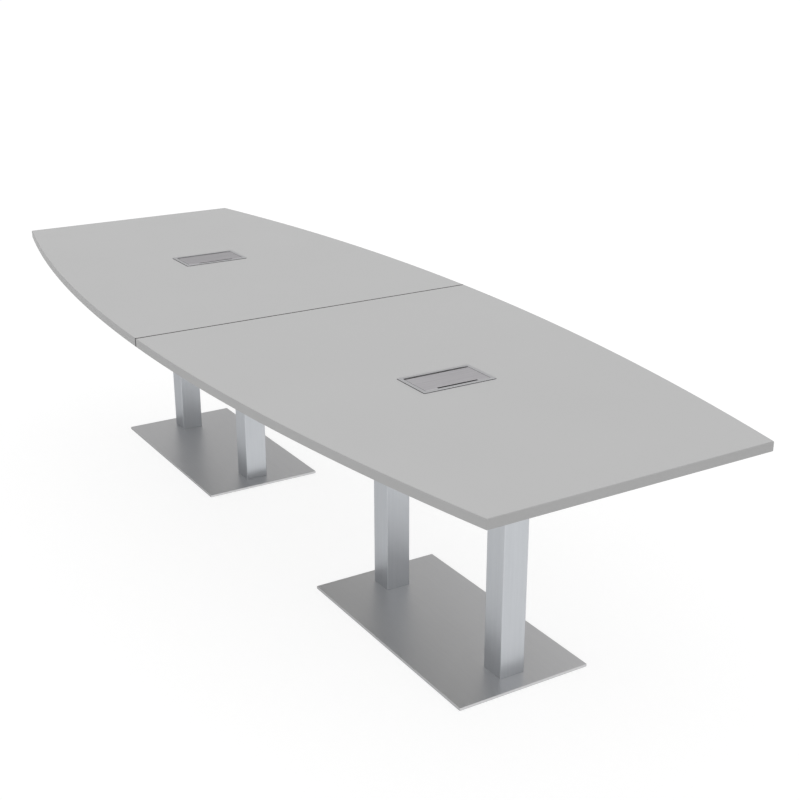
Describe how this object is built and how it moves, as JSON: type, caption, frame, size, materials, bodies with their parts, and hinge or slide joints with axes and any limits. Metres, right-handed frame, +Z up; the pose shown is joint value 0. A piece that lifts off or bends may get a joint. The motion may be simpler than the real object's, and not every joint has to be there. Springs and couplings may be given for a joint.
{
  "type": "conference table",
  "caption": "Boat-shaped two-piece conference table with a grey top on satin metal plate bases with square posts, and flip-lid power modules set in the top.",
  "frame": {"origin": "on the floor under the middle of the table", "axes": "+Z up, +X along the table's length towards the near end, +Y across it to the right"},
  "size_m": [3.048, 1.133, 0.7388],
  "materials": {
    "laminate_board": "grey matt laminate on board",
    "edge_band": "grey edge band",
    "satin_steel": "satin silver",
    "zinc_steel": "zinc plated",
    "bezel_aluminium": "satin anodised",
    "lid_aluminium": "brushed anodised",
    "black_steel": "black powder coat",
    "black_plastic": "moulded black",
    "glide_plastic": "moulded nylon",
    "beech": "plain beech"
  },
  "bodies": {
    "table": {"top_panel_near": "laminate_board", "edge_band_left_near": "edge_band", "edge_band_right_near": "edge_band", "edge_band_end_near": "edge_band", "base_plate_near": "satin_steel", "post_inner_near": "satin_steel", "post_cap_inner_near": "zinc_steel", "tie_rod_inner_near": "zinc_steel", "post_outer_near": "satin_steel", "post_cap_outer_near": "zinc_steel", "tie_rod_outer_near": "zinc_steel", "power_bezel_near": "bezel_aluminium", "power_housing_near": "black_steel", "outlet_plate_near": "black_steel", "usb_module_near": "black_plastic", "power_inlet_near": "black_plastic", "hinge_pin_left_near": "zinc_steel", "module_clamp_left_near": "zinc_steel", "receptacle_left_near": "black_plastic", "hinge_pin_right_near": "zinc_steel", "module_clamp_right_near": "zinc_steel", "receptacle_right_near": "black_plastic", "top_panel_far": "laminate_board", "edge_band_left_far": "edge_band", "edge_band_right_far": "edge_band", "edge_band_end_far": "edge_band", "base_plate_far": "satin_steel", "post_inner_far": "satin_steel", "post_cap_inner_far": "zinc_steel", "tie_rod_inner_far": "zinc_steel", "post_outer_far": "satin_steel", "post_cap_outer_far": "zinc_steel", "tie_rod_outer_far": "zinc_steel", "power_bezel_far": "bezel_aluminium", "power_housing_far": "black_steel", "outlet_plate_far": "black_steel", "usb_module_far": "black_plastic", "power_inlet_far": "black_plastic", "hinge_pin_left_far": "zinc_steel", "module_clamp_left_far": "zinc_steel", "receptacle_left_far": "black_plastic", "hinge_pin_right_far": "zinc_steel", "module_clamp_right_far": "zinc_steel", "receptacle_right_far": "black_plastic", "seam_dowel_left": "beech", "seam_dowel_right": "beech", "seam_plate_left": "zinc_steel", "seam_plate_middle": "zinc_steel", "seam_plate_right": "zinc_steel"},
    "lid_near": {"power_lid_near": "lid_aluminium"},
    "lid_far": {"power_lid_far": "lid_aluminium"},
    "foot_inner_left_near": {"glide_inner_left_near": "glide_plastic"},
    "foot_inner_right_near": {"glide_inner_right_near": "glide_plastic"},
    "foot_outer_left_near": {"glide_outer_left_near": "glide_plastic"},
    "foot_outer_right_near": {"glide_outer_right_near": "glide_plastic"},
    "foot_inner_left_far": {"glide_inner_left_far": "glide_plastic"},
    "foot_inner_right_far": {"glide_inner_right_far": "glide_plastic"},
    "foot_outer_left_far": {"glide_outer_left_far": "glide_plastic"},
    "foot_outer_right_far": {"glide_outer_right_far": "glide_plastic"}
  },
  "joints": [
    {"name": "lid_hinge_near", "type": "hinge", "parent": "table", "child": "lid_near", "pos_m": [0.71346, 0, 0.7343], "axis": [0, -1, 0], "range_deg": [0, 105]},
    {"name": "lid_hinge_far", "type": "hinge", "parent": "table", "child": "lid_far", "pos_m": [-0.81054, 0, 0.7343], "axis": [0, -1, 0], "range_deg": [0, 105]},
    {"name": "level_inner_left_near", "type": "slide", "parent": "table", "child": "foot_inner_left_near", "axis": [0, 0, -1], "range_m": [0, 0.003]},
    {"name": "level_inner_right_near", "type": "slide", "parent": "table", "child": "foot_inner_right_near", "axis": [0, 0, -1], "range_m": [0, 0.003]},
    {"name": "level_outer_left_near", "type": "slide", "parent": "table", "child": "foot_outer_left_near", "axis": [0, 0, -1], "range_m": [0, 0.003]},
    {"name": "level_outer_right_near", "type": "slide", "parent": "table", "child": "foot_outer_right_near", "axis": [0, 0, -1], "range_m": [0, 0.003]},
    {"name": "level_inner_left_far", "type": "slide", "parent": "table", "child": "foot_inner_left_far", "axis": [0, 0, -1], "range_m": [0, 0.003]},
    {"name": "level_inner_right_far", "type": "slide", "parent": "table", "child": "foot_inner_right_far", "axis": [0, 0, -1], "range_m": [0, 0.003]},
    {"name": "level_outer_left_far", "type": "slide", "parent": "table", "child": "foot_outer_left_far", "axis": [0, 0, -1], "range_m": [0, 0.003]},
    {"name": "level_outer_right_far", "type": "slide", "parent": "table", "child": "foot_outer_right_far", "axis": [0, 0, -1], "range_m": [0, 0.003]}
  ]
}
